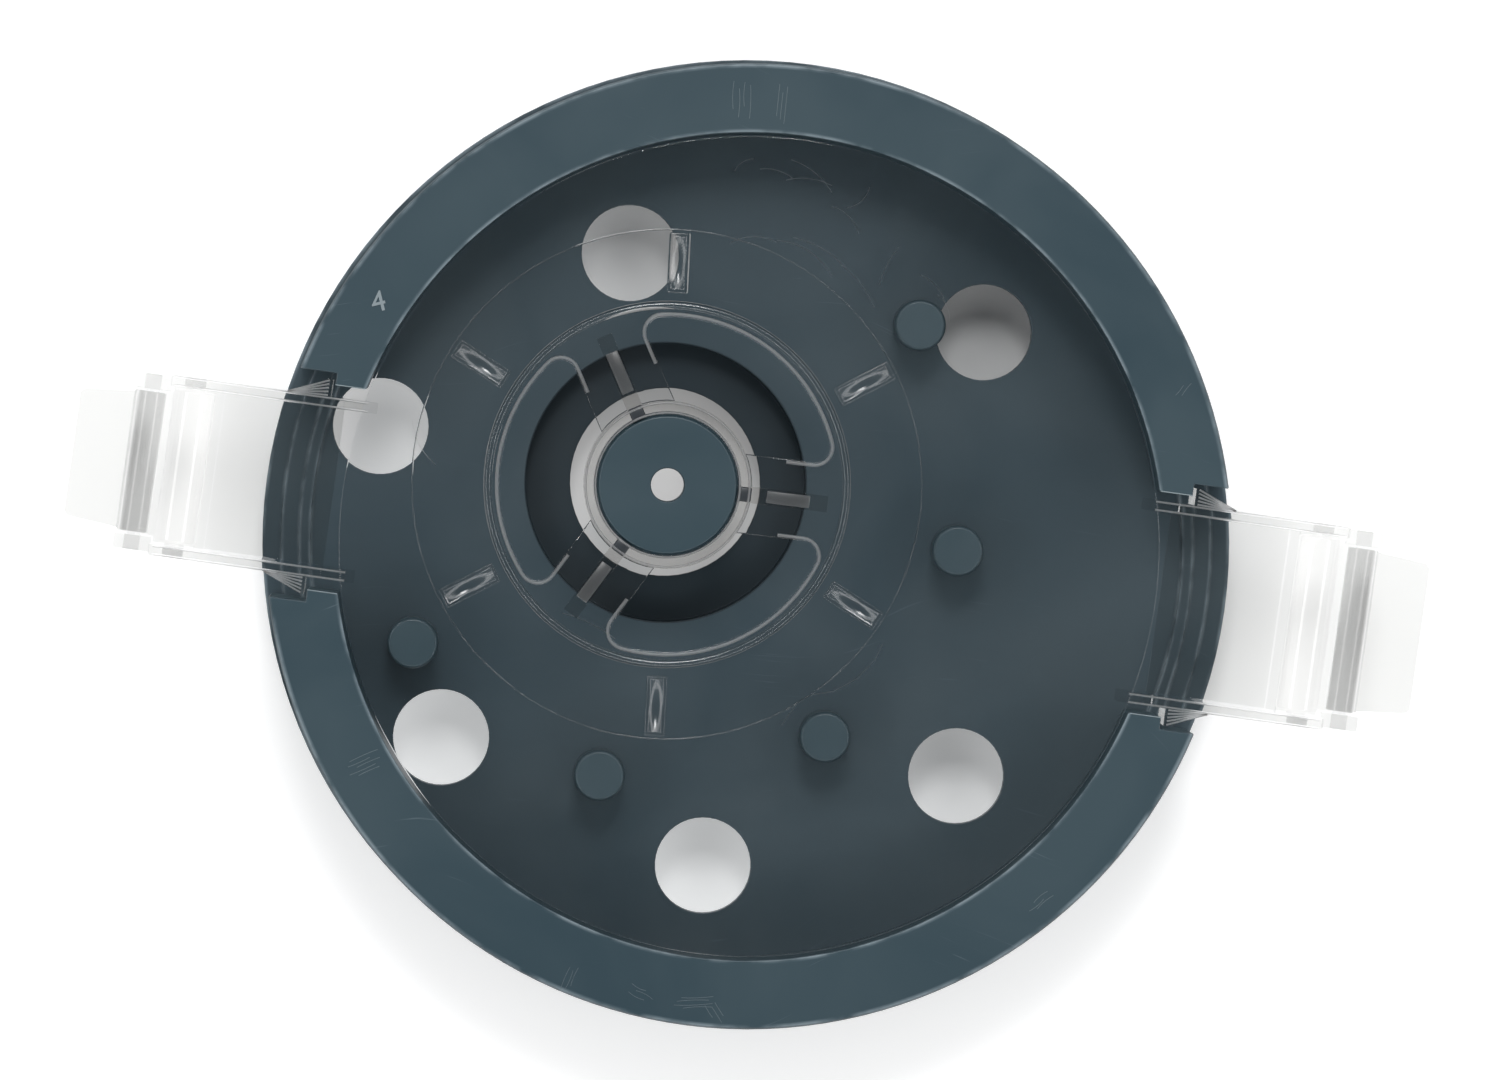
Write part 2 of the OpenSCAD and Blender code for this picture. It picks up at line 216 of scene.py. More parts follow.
def build_moulded_skin():
    """Cloudy colour, hair scuffs and fine texture of a moulded face."""
    tree, add, given, result = shader_group(
        "moulded_skin",
        [("Vector", "NodeSocketVector", None), ("Dark", "NodeSocketColor", (0.03, 0.05, 0.06, 1)),
         ("Pale", "NodeSocketColor", (0.05, 0.07, 0.08, 1)),
         ("Scuffed", "NodeSocketColor", (0.2, 0.24, 0.26, 1)), ("Scuffing", "NodeSocketFloat", 0.5),
         ("Rough", "NodeSocketFloat", 0.35)],
        [("Color", "NodeSocketColor"), ("Roughness", "NodeSocketFloat"), ("Height", "NodeSocketFloat")])
    clouds = add("ShaderNodeTexNoise", {"Vector": given["Vector"], "Scale": 42, "Detail": 4,
                                        "Roughness": 0.55, "Distortion": 0.6})
    spread = add("ShaderNodeMapRange", {"Value": clouds.outputs["Fac"], "From Min": 0.34, "From Max": 0.66})
    body = add("ShaderNodeMix", {"Factor": spread.outputs["Result"], "A": given["Dark"],
                                 "B": given["Pale"]}, data_type="RGBA")
    bend = add("ShaderNodeTexNoise", {"Vector": given["Vector"], "Scale": 24, "Detail": 1})
    bend = add("ShaderNodeVectorMath", {0: bend.outputs["Color"], 1: (0.5, 0.5, 0.5)}, operation="SUBTRACT")
    bent = add("ShaderNodeVectorMath", {0: bend.outputs["Vector"], 1: (0.03, 0.03, 0), 2: given["Vector"]},
               operation="MULTIPLY_ADD")
    total = None
    for turn, stretch in ((0.5, 26), (1.9, 34), (2.7, 20)):
        laid = add("ShaderNodeMapping", {"Vector": bent.outputs["Vector"], "Rotation": (0, 0, turn),
                                         "Scale": (1, stretch, 1)})
        hairs = add("ShaderNodeTexNoise", {"Vector": laid.outputs["Vector"], "Scale": 95, "Detail": 2,
                                           "Roughness": 0.5, "Distortion": 0.25})
        line = add("ShaderNodeMapRange", {"Value": hairs.outputs["Fac"], "From Min": 0.72, "From Max": 0.79})
        total = line.outputs["Result"] if total is None else add(
            "ShaderNodeMath", {0: total, 1: line.outputs["Result"]}, operation="MAXIMUM").outputs[0]
    patches = add("ShaderNodeTexNoise", {"Vector": given["Vector"], "Scale": 60, "Detail": 1})
    where = add("ShaderNodeMapRange", {"Value": patches.outputs["Fac"], "From Min": 0.48, "From Max": 0.62})
    hair = add("ShaderNodeMath", {0: total, 1: where.outputs["Result"]}, operation="MULTIPLY")
    hair = add("ShaderNodeMath", {0: hair.outputs[0], 1: given["Scuffing"]}, operation="MULTIPLY")
    colour = add("ShaderNodeMix", {"Factor": hair.outputs[0], "A": body.outputs["Result"],
                                   "B": given["Scuffed"]}, data_type="RGBA")
    grain = add("ShaderNodeTexNoise", {"Vector": given["Vector"], "Scale": 2600, "Detail": 2})
    rough = add("ShaderNodeMath", {0: spread.outputs["Result"], 1: 0.1, 2: given["Rough"]},
                operation="MULTIPLY_ADD")
    rough = add("ShaderNodeMath", {0: hair.outputs[0], 1: 0.3, 2: rough.outputs[0]}, operation="MULTIPLY_ADD")
    height = add("ShaderNodeMath", {0: hair.outputs[0], 1: -0.6, 2: grain.outputs["Fac"]},
                 operation="MULTIPLY_ADD")
    links = tree.links
    links.new(colour.outputs["Result"], result["Color"])
    links.new(rough.outputs[0], result["Roughness"])
    links.new(height.outputs[0], result["Height"])
    return tree


def build_edge_highlight_line():
    """Mask of the painted highlight line along a round edge, broken up so that it looks rubbed, at Radius
    from the reel's centre and above Low.
    """
    tree, add, given, result = shader_group(
        "edge_highlight_line",
        [("Vector", "NodeSocketVector", None), ("Radius", "NodeSocketFloat", 0.048),
         ("Width", "NodeSocketFloat", 0.0004), ("Low", "NodeSocketFloat", 0.0)],
        [("Mask", "NodeSocketFloat")])
    flat = add("ShaderNodeVectorMath", {0: given["Vector"], 1: (1, 1, 0)}, operation="MULTIPLY")
    radius = add("ShaderNodeVectorMath", {0: flat.outputs["Vector"]}, operation="LENGTH")
    away = add("ShaderNodeMath", {0: radius.outputs["Value"], 1: given["Radius"]}, operation="SUBTRACT")
    away = add("ShaderNodeMath", {0: away.outputs[0]}, operation="ABSOLUTE")
    near = add("ShaderNodeMapRange", {"Value": away.outputs[0], "From Max": given["Width"],
                                      "To Min": 1, "To Max": 0})
    broken = add("ShaderNodeTexNoise", {"Vector": given["Vector"], "Scale": 260, "Detail": 3})
    painted_highlight = add("ShaderNodeMapRange", {"Value": broken.outputs["Fac"], "From Min": 0.35, "From Max": 0.6})
    mask = add("ShaderNodeMath", {0: near.outputs["Result"], 1: painted_highlight.outputs["Result"]},
               operation="MULTIPLY")
    height = add("ShaderNodeSeparateXYZ", {"Vector": given["Vector"]})
    above = add("ShaderNodeMath", {0: height.outputs["Z"], 1: given["Low"]}, operation="GREATER_THAN")
    mask = add("ShaderNodeMath", {0: mask.outputs[0], 1: above.outputs[0]}, operation="MULTIPLY")
    tree.links.new(mask.outputs[0], result["Mask"])
    return tree


moulded_skin = build_moulded_skin()
edge_highlight_line = build_edge_highlight_line()


def dark_plastic(name, dark, pale, scuffing, rough, edge_radii=(), edge_low=0.0):
    """Satin slate plastic. Along the round edges at edge_radii and above edge_low, in metres, pale lines are
    painted as highlight, broken up so that they look rubbed.
    """
    scuffed = (0.16, 0.21, 0.24)
    # Colour of the painted highlight lines along the round edges.
    painted_highlight = (0.2, 0.25, 0.28)
    highlight_share = 0.75
    edge_width = 0.3 * mm
    grain_depth = 0.004 * mm
    material = bpy.data.materials.new(name)
    material.use_nodes = True
    tree = material.node_tree
    add = node_maker(tree)
    shader = tree.nodes["Principled BSDF"]
    place = add("ShaderNodeTexCoord").outputs["Object"]
    skin = add("ShaderNodeGroup", node_tree=moulded_skin)
    tree.links.new(place, skin.inputs["Vector"])
    for key, value in (("Dark", dark), ("Pale", pale), ("Scuffed", scuffed)):
        skin.inputs[key].default_value = (*value, 1)
    skin.inputs["Scuffing"].default_value = scuffing
    skin.inputs["Rough"].default_value = rough
    colour = skin.outputs["Color"]
    for radius in edge_radii:
        edge = add("ShaderNodeGroup", node_tree=edge_highlight_line)
        tree.links.new(place, edge.inputs["Vector"])
        edge.inputs["Radius"].default_value = radius
        edge.inputs["Width"].default_value = edge_width
        edge.inputs["Low"].default_value = edge_low
        share = add("ShaderNodeMath", {0: edge.outputs["Mask"], 1: highlight_share}, operation="MULTIPLY")
        colour = add("ShaderNodeMix", {"Factor": share.outputs[0], "A": colour,
                                       "B": (*painted_highlight, 1)}, data_type="RGBA").outputs["Result"]
    bump = add("ShaderNodeBump", {"Height": skin.outputs["Height"], "Strength": 0.35,
                                  "Distance": grain_depth})
    tree.links.new(colour, shader.inputs["Base Color"])
    tree.links.new(skin.outputs["Roughness"], shader.inputs["Roughness"])
    tree.links.new(bump.outputs["Normal"], shader.inputs["Normal"])
    shader.inputs["Specular IOR Level"].default_value = 0.45
    return material



def new_piece(name, mesh, body, material=None):
    """Puts a finished mesh in the scene as one piece on a body."""
    piece = bpy.data.objects.new(name, mesh)
    scene.collection.objects.link(piece)
    if material:
        mesh.materials.clear()
        mesh.materials.append(material)
    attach(piece, body)
    return piece


def apply_modifiers(obj):
    """Turns an object's live modifiers into plain mesh."""
    bpy.context.view_layer.update()
    done = bpy.data.meshes.new_from_object(obj.evaluated_get(bpy.context.evaluated_depsgraph_get()))
    obj.modifiers.clear()
    obj.data = done


def even_shading(obj):
    """Smooth shading in which the flat faces stay flat and only the rounded corners turn."""
    for face in obj.data.polygons:
        face.use_smooth = True
    weighted = obj.modifiers.new("shading", "WEIGHTED_NORMAL")
    weighted.mode = "FACE_AREA"
    weighted.weight = 100
    apply_modifiers(obj)


def softened_copy(node, name, body, material, corner, steps=3):
    """A CAD node's shape with its sharp corners rounded, standing for that node."""
    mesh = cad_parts[node].data.copy()
    shell = bmesh.new()
    shell.from_mesh(mesh)
    bmesh.ops.remove_doubles(shell, verts=shell.verts, dist=0.002 * mm)
    bmesh.ops.dissolve_limit(shell, angle_limit=math.radians(0.4), verts=shell.verts, edges=shell.edges)
    shell.to_mesh(mesh)
    shell.free()
    mesh.materials.clear()
    mesh.materials.append(material)
    piece = bpy.data.objects.new(name, mesh)
    scene.collection.objects.link(piece)
    rounding = piece.modifiers.new("corners", "BEVEL")
    rounding.width = corner * mm
    rounding.segments = steps
    rounding.limit_method = "ANGLE"
    rounding.angle_limit = math.radians(50)
    rounding.use_clamp_overlap = True
    even_shading(piece)
    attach(piece, body)
    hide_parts(node)


slate = (0.027, 0.047, 0.060)
slate_pale = (0.036, 0.057, 0.070)
base_edges = (48.5 * mm, 46.7 * mm, 44.9 * mm, 43.8 * mm)
base_edge_low = 6.6 * mm
base_plastic = dark_plastic("base_plastic", slate, slate_pale, 0.15, 0.36, base_edges, base_edge_low)
# Painted shade: the well's walls and floor get a darker colour than the rest, by their distance from the hub,
# standing for the shade in the deep well.
well_radius = 14.15 * mm
well_painted_shade = (0.010, 0.020, 0.027)
base_tree = base_plastic.node_tree
base_shader = base_tree.nodes["Principled BSDF"]
add_base = node_maker(base_tree)
plain_colour = base_shader.inputs["Base Color"].links[0].from_socket
place = add_base("ShaderNodeTexCoord").outputs["Object"]
offset = add_base("ShaderNodeVectorMath", {0: place, 1: hub[:]}, operation="SUBTRACT")
offset = add_base("ShaderNodeVectorMath", {0: offset.outputs["Vector"], 1: (1, 1, 0)},
                  operation="MULTIPLY")
distance = add_base("ShaderNodeVectorMath", {0: offset.outputs["Vector"]}, operation="LENGTH")
in_shaded_well = add_base("ShaderNodeMath", {0: distance.outputs["Value"], 1: well_radius},
                   operation="LESS_THAN")
well_shaded_colour = add_base("ShaderNodeMix", {"Factor": in_shaded_well.outputs[0], "A": plain_colour,
                                         "B": (*well_painted_shade, 1)}, data_type="RGBA")
base_tree.links.new(well_shaded_colour.outputs["Result"], base_shader.inputs["Base Color"])
softened_copy("base_plate", "base_moulding", "base", base_plastic, 0.18)

# ---------------------------------------------------------------------------
# Rims: two hollow dark mouldings, welded on over the locating ring. Their
# inner and outer corners carry painted highlight lines, and one carries a cavity numeral.
rim_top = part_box("upper_rim")[1].z
rim_edges = (41.2 * mm, 47.75 * mm)
rim_edge_low = rim_top - 0.25 * mm
rim_plastic = dark_plastic("rim_plastic", (0.025, 0.048, 0.062), (0.030, 0.055, 0.069), 0.5, 0.34,
                           rim_edges, rim_edge_low)
for rim_node in ("upper_rim", "lower_rim"):
    softened_copy(rim_node, rim_node + "_moulding", "base", rim_plastic, 0.16)

numeral_text = bpy.data.curves.new("numeral", "FONT")
numeral_text.body = "4"
numeral_text.size = 2.9 * mm
numeral_text.extrude = 0.04 * mm
numeral_text.bevel_depth = 0.015 * mm
numeral_text.align_x = "CENTER"
numeral_text.align_y = "CENTER"
numeral_raw = bpy.data.objects.new("numeral_raw", numeral_text)
scene.collection.objects.link(numeral_raw)
bpy.context.view_layer.update()
numeral_mesh = bpy.data.meshes.new_from_object(
    numeral_raw.evaluated_get(bpy.context.evaluated_depsgraph_get()))
bpy.data.objects.remove(numeral_raw)
numeral_place = Matrix.Translation((-39.8 * mm, 18.9 * mm, rim_top + 0.02 * mm))
numeral_mesh.transform(numeral_place @ Matrix.Rotation(math.radians(22), 4, "Z"))
numeral_plastic = dark_plastic("numeral_plastic", (0.17, 0.21, 0.23), (0.22, 0.26, 0.28), 0.2, 0.4)
new_piece("cavity_numeral", numeral_mesh, "base", numeral_plastic)

# ---------------------------------------------------------------------------
# Film pegs: five turned pins pressed into the base, in a circle about the hub,
# which keep the outer turns of the film in place.
peg_plastic = dark_plastic("peg_plastic", (0.034, 0.060, 0.074), (0.040, 0.066, 0.080), 0.1, 0.33)
for number in range(1, 6):
    softened_copy(f"film_peg_{number}", f"turned_peg_{number}", "base",
                  peg_plastic, 0.2, 4)

# ---------------------------------------------------------------------------
# Core: a thin dark drum that snaps into the collar and turns in it, closed by
# a flat cap with the spindle hole.
cap_plastic = dark_plastic("cap_plastic", (0.026, 0.049, 0.062), (0.030, 0.054, 0.068), 0.25, 0.34)
drum_plastic = dark_plastic("drum_plastic", slate, slate_pale, 0.1, 0.4)
softened_copy("core_drum", "core_sleeve", "core", drum_plastic, 0.1, 2)
softened_copy("core_cap", "core_cover", "core", cap_plastic, 0.12)

# ---------------------------------------------------------------------------
# Lid: a disc of polished clear styrene with three round-cornered windows about the hub.
# Ring beads, window borders and six slotted radial ribs stand on its top face, moulding
# has left a slight ripple in it, and handling has left hair scratches and curved scuffs.


def build_clear_skin():
    """Hair scratches and moulding ripple of a clear polished face."""
    tree, add, given, result = shader_group(
        "clear_skin",
        [("Vector", "NodeSocketVector", None), ("Scratching", "NodeSocketFloat", 0.5),
         ("Rough", "NodeSocketFloat", 0.03)],
        [("Roughness", "NodeSocketFloat"), ("Height", "NodeSocketFloat")])
    bend = add("ShaderNodeTexNoise", {"Vector": given["Vector"], "Scale": 20, "Detail": 1})
    bend = add("ShaderNodeVectorMath", {0: bend.outputs["Color"], 1: (0.5, 0.5, 0.5)}, operation="SUBTRACT")
    bent = add("ShaderNodeVectorMath", {0: bend.outputs["Vector"], 1: (0.045, 0.045, 0), 2: given["Vector"]},
               operation="MULTIPLY_ADD")
    total = None
    for turn, stretch in ((0.2, 40), (1.3, 30), (2.4, 46)):
        laid = add("ShaderNodeMapping", {"Vector": bent.outputs["Vector"], "Rotation": (0, 0, turn),
                                         "Scale": (1, stretch, 1)})
        hairs = add("ShaderNodeTexNoise", {"Vector": laid.outputs["Vector"], "Scale": 70, "Detail": 2,
                                           "Distortion": 0.4})
        line = add("ShaderNodeMapRange", {"Value": hairs.outputs["Fac"], "From Min": 0.725, "From Max": 0.80})
        total = line.outputs["Result"] if total is None else add(
            "ShaderNodeMath", {0: total, 1: line.outputs["Result"]}, operation="MAXIMUM").outputs[0]
    hair = add("ShaderNodeMath", {0: total, 1: given["Scratching"]}, operation="MULTIPLY")
    haze = add("ShaderNodeTexNoise", {"Vector": given["Vector"], "Scale": 55, "Detail": 3})
    rough = add("ShaderNodeMath", {0: haze.outputs["Fac"], 1: 0.03, 2: given["Rough"]},
                operation="MULTIPLY_ADD")
    rough = add("ShaderNodeMath", {0: hair.outputs[0], 1: 0.4, 2: rough.outputs[0]}, operation="MULTIPLY_ADD")
    ripple = add("ShaderNodeTexNoise", {"Vector": given["Vector"], "Scale": 130, "Detail": 1})
    height = add("ShaderNodeMath", {0: hair.outputs[0], 1: -0.5, 2: ripple.outputs["Fac"]},
                 operation="MULTIPLY_ADD")
    tree.links.new(rough.outputs[0], result["Roughness"])
    tree.links.new(height.outputs[0], result["Height"])
    return tree


clear_skin = build_clear_skin()


def clear_plastic(name, tint, rough, scratching, gloss=0.5, shade=0.94, clearness=1):
    """Clear plastic that bends light. Lamps and bounced light pass straight through it, dimmed by shade."""
    ripple_depth = 0.012 * mm
    material = bpy.data.materials.new(name)
    material.use_nodes = True
    tree = material.node_tree
    add = node_maker(tree)
    shader = tree.nodes["Principled BSDF"]
    place = add("ShaderNodeTexCoord").outputs["Object"]
    skin = add("ShaderNodeGroup", node_tree=clear_skin)
    tree.links.new(place, skin.inputs["Vector"])
    skin.inputs["Scratching"].default_value = scratching
    skin.inputs["Rough"].default_value = rough
    bump = add("ShaderNodeBump", {"Height": skin.outputs["Height"], "Strength": 0.3,
                                  "Distance": ripple_depth})
    shader.inputs["Base Color"].default_value = (*tint, 1)
    shader.inputs["Transmission Weight"].default_value = clearness
    shader.inputs["IOR"].default_value = 1.57
    shader.inputs["Specular IOR Level"].default_value = gloss
    tree.links.new(skin.outputs["Roughness"], shader.inputs["Roughness"])
    tree.links.new(bump.outputs["Normal"], shader.inputs["Normal"])
    lamp_through = add("ShaderNodeBsdfTransparent", {"Color": (*[shade] * 3, 1)})
    ray = add("ShaderNodeLightPath")
    surface = shader
    for kind in ("Is Diffuse Ray", "Is Glossy Ray", "Is Shadow Ray"):
        surface = add("ShaderNodeMixShader", {0: ray.outputs[kind], 1: surface.outputs[0],
                                              2: lamp_through.outputs[0]})
    tree.links.new(surface.outputs[0], tree.nodes["Material Output"].inputs["Surface"])
    return material


lid_low, lid_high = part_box("guide_plate")
lid_radius = (lid_high.x - lid_low.x) / 2
lid_thickness = 1 * mm
lid_top = lid_low.z + lid_thickness
collar_radius = 8.33 * mm
window_radius = 16.6 * mm
window_corner = 1.5 * mm
arm_half = 3.95 * mm
arm_turns = [math.radians(a) for a in (1, 121, 241)]
lid_plastic = clear_plastic("lid_plastic", (0.96, 0.98, 0.985), 0.012, 0.35, gloss=0.4)


def arc(centre, radius, start, end, steps):
    """Points on an arc, in the plane of the lid."""
    return [Vector((centre[0] + radius * math.cos(start + (end - start) * i / steps),
                    centre[1] + radius * math.sin(start + (end - start) * i / steps)))
            for i in range(steps + 1)]


def window_side(radius, corner, half):
    """The corner arc of a window beside an arm that points along +X, from the arm side outwards."""
    y = half + corner
    centre = (math.sqrt((radius - corner) ** 2 - y * y), y)
    outward = math.atan2(centre[1], centre[0])
    return arc(centre, corner, -math.pi / 2, outward, 8)


def turned(points, angle):
    """Points turned about the hub's centre."""
    c, s = math.cos(angle), math.sin(angle)
    return [Vector((p.x * c - p.y * s, p.x * s + p.y * c)) for p in points]


def mirrored(points):
    """Points mirrored across the X axis, in reverse order."""
    return [Vector((p.x, -p.y)) for p in reversed(points)]


def window_lobes(radius, corner, half, inner):
    """The outline round all three windows and the ends of the arms, once round the hub."""
    outline = []
    side = window_side(radius, corner, half)
    start_turn = math.atan2(side[-1].y, side[-1].x)
    end_turn = 2 * math.pi / 3 - start_turn
    tip = math.asin(half / inner)
    for angle in arm_turns:
        lobe = arc((0, 0), inner, -tip, tip, 10) + side
        lobe += arc((0, 0), radius, start_turn, end_turn, 40)[1:-1]
        lobe += turned(mirrored(side), 2 * math.pi / 3)
        outline += turned(lobe, angle)
    return [p + hub.xy for p in outline]


def plate_mesh(name, loops, bottom, top, edge):
    """A flat plate between closed outlines, with softly rounded edges."""
    flat = bpy.data.curves.new(name, "CURVE")
    flat.dimensions = "2D"
    flat.fill_mode = "BOTH"
    flat.extrude = (top - bottom) / 2 - edge
    flat.bevel_depth = edge
    flat.offset = -edge
    flat.bevel_resolution = 2
    for loop in loops:
        spline = flat.splines.new("POLY")
        spline.points.add(len(loop) - 1)
        for point, place in zip(spline.points, loop):
            point.co = (place.x, place.y, 0, 1)
        spline.use_cyclic_u = True
    raw = bpy.data.objects.new(name, flat)
    scene.collection.objects.link(raw)
    bpy.context.view_layer.update()
    mesh = bpy.data.meshes.new_from_object(raw.evaluated_get(bpy.context.evaluated_depsgraph_get()))
    bpy.data.objects.remove(raw)
    mesh.transform(Matrix.Translation((0, 0, (top + bottom) / 2)))
    shell = bmesh.new()
    shell.from_mesh(mesh)
    bmesh.ops.remove_doubles(shell, verts=shell.verts, dist=0.001 * mm)
    bmesh.ops.recalc_face_normals(shell, faces=shell.faces)
    shell.to_mesh(mesh)
    shell.free()
    return mesh


lid_outline = arc((0, 0), lid_radius, 0, 2 * math.pi, 240)[:-1]
window_outline = window_lobes(window_radius, window_corner, arm_half, collar_radius)
lid_mesh = plate_mesh("lid", [lid_outline, window_outline], lid_low.z, lid_top, 0.12 * mm)
lid_piece = new_piece("lid_disc", lid_mesh, "lid", lid_plastic)
even_shading(lid_piece)
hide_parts("guide_plate")


def build_bead_on_path():
    """Geometry nodes: sweeps a round bead along the paths of a curve."""
    tree = bpy.data.node_groups.new("bead_on_path", "GeometryNodeTree")
    for socket, kind in (("Geometry", "NodeSocketGeometry"), ("Bead radius", "NodeSocketFloat"),
                         ("Bead sides", "NodeSocketInt"), ("Material", "NodeSocketMaterial")):
        tree.interface.new_socket(socket, in_out="INPUT", socket_type=kind)
    tree.interface.new_socket("Geometry", in_out="OUTPUT", socket_type="NodeSocketGeometry")
    add = node_maker(tree)
    given = add("NodeGroupInput").outputs
    profile = add("GeometryNodeCurvePrimitiveCircle", {"Resolution": given["Bead sides"],
                                                       "Radius": given["Bead radius"]})
    swept = add("GeometryNodeCurveToMesh", {"Curve": given["Geometry"], "Fill Caps": True,
                                            "Profile Curve": profile.outputs["Curve"]})
    smooth = add("GeometryNodeSetShadeSmooth", {"Geometry": swept.outputs["Mesh"]})
    plain = add("GeometryNodeRealizeInstances", {"Geometry": smooth.outputs["Geometry"]})
    coloured = add("GeometryNodeSetMaterial", {"Geometry": plain.outputs["Geometry"],
                                               "Material": given["Material"]})
    add("NodeGroupOutput", {"Geometry": coloured.outputs["Geometry"]})
    return tree


bead_on_path = build_bead_on_path()


def run_tree(obj, tree, values):
    """Runs a geometry node tree on an object and returns the result as a plain mesh."""
    modifier = obj.modifiers.new("tree", "NODES")
    modifier.node_group = tree
    for item in tree.interface.items_tree:
        if item.item_type == "SOCKET" and item.in_out == "INPUT" and item.name in values:
            modifier[item.identifier] = values[item.name]
    bpy.context.view_layer.update()
    mesh = bpy.data.meshes.new_from_object(obj.evaluated_get(bpy.context.evaluated_depsgraph_get()))
    bpy.data.objects.remove(obj)
    return mesh


def bead_piece(name, paths, radius, body, material, sides=8):
    """Round beads along paths, each a list of points in space and whether it is closed, as one piece."""
    lines = bpy.data.curves.new(name, "CURVE")
    lines.dimensions = "3D"
    for points, closed in paths:
        spline = lines.splines.new("POLY")
        spline.points.add(len(points) - 1)
        for point, place in zip(spline.points, points):
            point.co = (*place, 1)
        spline.use_cyclic_u = closed
    raw = bpy.data.objects.new(name, lines)
    scene.collection.objects.link(raw)
    mesh = run_tree(raw, bead_on_path, {"Bead radius": radius, "Bead sides": sides,
                                        "Material": material})
    new_piece(name, mesh, body)


bead_plastic = clear_plastic("bead_plastic", (0.97, 0.985, 0.985), 0.12, 0.1, gloss=1)
# Frosted white plastic for beads that stand as painted highlight lines on clear edges.
frosted_highlight_plastic = clear_plastic("frosted_highlight_plastic", (1, 1, 1), 0.38, 0, gloss=1, shade=0.97,
                                clearness=0.91)


def ring_path(radius, z):
    """A closed circle about the hub."""
    return [(p.x, p.y, z) for p in arc(hub, radius, 0, 2 * math.pi, 180)[:-1]], True


bead_piece("lid_ring_bead", [ring_path(17.8 * mm, lid_top + 0.12 * mm)], 0.42 * mm,
           "lid", bead_plastic, 12)
bead_piece("lid_step_ring", [ring_path(25.3 * mm, lid_top - 0.04 * mm)], 0.1 * mm,
           "lid", bead_plastic)

# The window borders are real raised borders. They are drawn in frosted plastic so that they also show as
# painted highlight lines.
border_paths = []
border_gap = 0.3 * mm
border_height = lid_top + 0.08 * mm
border_radius = window_radius + border_gap
border_corner = window_side(border_radius, window_corner + border_gap, arm_half - border_gap)
border_foot = Vector((border_corner[0].x - 2.6 * mm, border_corner[0].y))
for arm_turn in arm_turns:
    start = math.atan2(border_corner[-1].y, border_corner[-1].x)
    end = 2 * math.pi / 3 - start
    path = [border_foot] + border_corner
    path += arc((0, 0), border_radius, start, end, 40)[1:-1]
    path += turned(mirrored([border_foot] + border_corner), 2 * math.pi / 3)
    border_paths.append(([(p.x + hub.x, p.y + hub.y, border_height)
                          for p in turned(path, arm_turn)], False))
bead_piece("window_borders", border_paths, 0.17 * mm, "lid", frosted_highlight_plastic, 10)


def build_ring_of_copies():
    """Geometry nodes: copies of one shape, evenly spaced on a circle and turned with it."""
    tree = bpy.data.node_groups.new("ring_of_copies", "GeometryNodeTree")
    for socket, kind in (("Geometry", "NodeSocketGeometry"), ("Count", "NodeSocketInt"),
                         ("First angle", "NodeSocketFloat"), ("Centre", "NodeSocketVector"),
                         ("Material", "NodeSocketMaterial")):
        tree.interface.new_socket(socket, in_out="INPUT", socket_type=kind)
    tree.interface.new_socket("Geometry", in_out="OUTPUT", socket_type="NodeSocketGeometry")
    add = node_maker(tree)
    given = add("NodeGroupInput").outputs
    points = add("GeometryNodePoints", {"Count": given["Count"], "Position": given["Centre"]})
    step = add("ShaderNodeMath", {0: 2 * math.pi, 1: given["Count"]}, operation="DIVIDE")
    turn = add("ShaderNodeMath", {0: add("GeometryNodeInputIndex").outputs["Index"],
                                  1: step.outputs[0], 2: given["First angle"]}, operation="MULTIPLY_ADD")
    spin = add("ShaderNodeCombineXYZ", {"Z": turn.outputs[0]})
    copies = add("GeometryNodeInstanceOnPoints", {"Points": points.outputs[0],
                                                  "Instance": given["Geometry"],
                                                  "Rotation": spin.outputs["Vector"]})
    plain = add("GeometryNodeRealizeInstances", {"Geometry": copies.outputs["Instances"]})
    coloured = add("GeometryNodeSetMaterial", {"Geometry": plain.outputs["Geometry"],
                                               "Material": given["Material"]})
    add("NodeGroupOutput", {"Geometry": coloured.outputs["Geometry"]})
    return tree


ring_of_copies = build_ring_of_copies()


def soft_box(low, high, corner):
    """A box mesh with rounded corners."""
    mesh = bpy.data.meshes.new("block")
    shell = bmesh.new()
    bmesh.ops.create_cube(shell, size=1)
    middle = (low + high) / 2
    size = high - low
    bmesh.ops.transform(shell, verts=shell.verts,
                        matrix=Matrix.Translation(middle) @ Matrix.Diagonal((*size, 1)))
    bmesh.ops.bevel(shell, geom=shell.edges, offset=corner, segments=2, profile=0.5, affect="EDGES")
    shell.to_mesh(mesh)
    shell.free()
    for face in mesh.polygons:
        face.use_smooth = True
    return mesh


def copies_piece(name, mesh, count, first, body, material):
    """A ring of like pieces about the hub, as one mesh."""
    raw = bpy.data.objects.new(name, mesh)
    scene.collection.objects.link(raw)
    made = run_tree(raw, ring_of_copies, {"Count": count, "First angle": math.radians(first),
                                          "Centre": hub[:], "Material": material})
    new_piece(name, made, body)


rib_in = 19 * mm
rib_out = 25 * mm
rib_half_width = 1.05 * mm
rib_height = 0.8 * mm
rib_wall = 0.45 * mm
rib_slot_depth = 0.5 * mm
rib_plastic = clear_plastic("rib_plastic", (0.97, 0.985, 0.985), 0.14, 0.2, gloss=0.7)
rib_frame = soft_box(Vector((rib_in, -rib_half_width, lid_top + 0.01 * mm)),
                     Vector((rib_out, rib_half_width, lid_top + rib_height)), 0.18 * mm)
slotted = bmesh.new()
slotted.from_mesh(rib_frame)
top_face = max(slotted.faces, key=lambda f: (round(f.calc_center_median().z, 6), f.calc_area()))
bmesh.ops.inset_individual(slotted, faces=[top_face], thickness=rib_wall)
bmesh.ops.translate(slotted, verts=top_face.verts, vec=(0, 0, -rib_slot_depth))
slotted.to_mesh(rib_frame)
slotted.free()
copies_piece("lid_ribs", rib_frame, 6, 35, "lid", rib_plastic)

